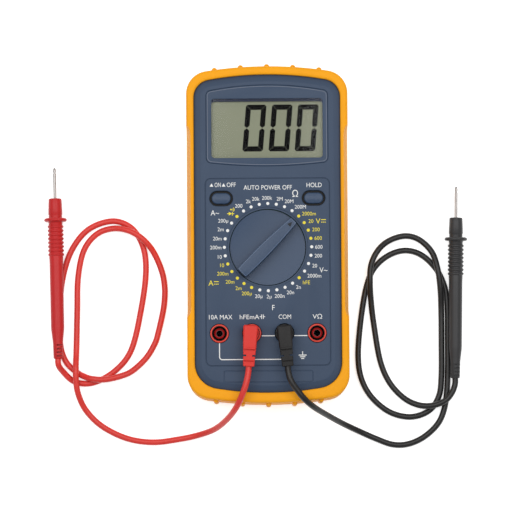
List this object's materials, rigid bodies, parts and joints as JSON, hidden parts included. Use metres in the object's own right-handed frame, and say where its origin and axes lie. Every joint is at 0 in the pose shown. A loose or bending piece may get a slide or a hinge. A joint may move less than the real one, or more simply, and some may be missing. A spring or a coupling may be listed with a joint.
{
  "type": "digital multimeter",
  "caption": "Hand-held digital multimeter in a ribbed rubber holster, with display, rotary selector, push buttons, sockets, tilt stand and plugged-in test leads with needle probes.",
  "frame": {"origin": "on the table plane under the middle of the holster, with the meter on its back", "axes": "+Z out of the dial, +Y from the sockets to the display, +X to the right of the dial"},
  "size_m": [0.2517, 0.2264, 0.0453],
  "materials": {
    "holster_rubber": "matt orange rubber",
    "case_plastic": "fine-grained slate blue",
    "window_plastic": "clear, polished",
    "lcd_glass": "grey-green display",
    "inner_plastic": "black",
    "elastomer": "soft",
    "board_laminate": "green",
    "chip_epoxy": "black",
    "battery_wrap": "plain wrap",
    "fuse_glass": "clear",
    "socket_red": "red",
    "socket_black": "black",
    "brass": "bright",
    "copper": "bare copper",
    "steel": "plain",
    "nickel": "nickel plate",
    "red_rubber": "satin",
    "black_rubber": "satin",
    "red_plastic": "satin",
    "black_plastic": "satin"
  },
  "bodies": {
    "meter": {"holster": "holster_rubber", "front_case": "case_plastic", "rear_case": "case_plastic", "display_window": "window_plastic", "lcd_panel": "lcd_glass", "lcd_frame": "inner_plastic", "zebra_strip_upper": "elastomer", "zebra_strip_lower": "elastomer", "power_switch": "inner_plastic", "hold_switch": "inner_plastic", "socket_10a": "socket_red", "socket_ma": "socket_red", "socket_com": "socket_black", "socket_volt": "socket_red", "contact_10a": "brass", "contact_ma": "brass", "contact_com": "brass", "contact_volt": "brass", "circuit_board": "board_laminate", "main_chip": "chip_epoxy", "buzzer": "brass", "shunt_wire": "copper", "battery": "battery_wrap", "battery_snap": "inner_plastic", "battery_cover": "case_plastic", "battery_cover_screw": "steel", "fuse_10a": "fuse_glass", "fuse_ma": "fuse_glass", "fuse_clip_10a_left": "brass", "fuse_clip_10a_right": "brass", "fuse_clip_ma_left": "brass", "fuse_clip_ma_right": "brass", "case_screw_1": "steel", "case_screw_2": "steel", "case_screw_3": "steel", "case_screw_4": "steel", "board_screw_1": "steel", "board_screw_2": "steel", "red_cord": "red_rubber", "black_cord": "black_rubber", "red_probe_handle": "red_plastic", "black_probe_handle": "black_plastic", "red_probe_needle": "nickel", "black_probe_needle": "nickel"},
    "selector": {"selector_knob": "case_plastic", "wiper_contact_1": "brass", "wiper_contact_2": "brass", "wiper_contact_3": "brass", "detent_ball_1": "steel", "detent_ball_2": "steel", "detent_spring_1": "steel", "detent_spring_2": "steel"},
    "power_button": {"power_button": "case_plastic"},
    "hold_button": {"hold_button": "case_plastic"},
    "red_plug": {"red_plug": "red_rubber", "red_plug_pin": "nickel"},
    "black_plug": {"black_plug": "black_rubber", "black_plug_pin": "nickel"},
    "tilt_stand": {"tilt_stand": "case_plastic"}
  },
  "joints": [
    {"name": "selector_turn", "type": "hinge", "parent": "meter", "child": "selector", "pos_m": [0, -0.0078, 0.034], "axis": [0, 0, 1], "continuous": true},
    {"name": "power_press", "type": "slide", "parent": "meter", "child": "power_button", "axis": [0, 0, -1], "range_m": [0, 0.0016], "stiffness_N_per_m": 400},
    {"name": "hold_press", "type": "slide", "parent": "meter", "child": "hold_button", "axis": [0, 0, -1], "range_m": [0, 0.0016], "stiffness_N_per_m": 400},
    {"name": "red_plug_pull", "type": "slide", "parent": "meter", "child": "red_plug", "axis": [0, 0, 1], "range_m": [0, 0.016]},
    {"name": "black_plug_pull", "type": "slide", "parent": "meter", "child": "black_plug", "axis": [0, 0, 1], "range_m": [0, 0.016]},
    {"name": "stand_fold", "type": "hinge", "parent": "meter", "child": "tilt_stand", "pos_m": [0, 0.0662, 0.0041], "axis": [1, 0, 0], "range_deg": [0, 60]}
  ]
}
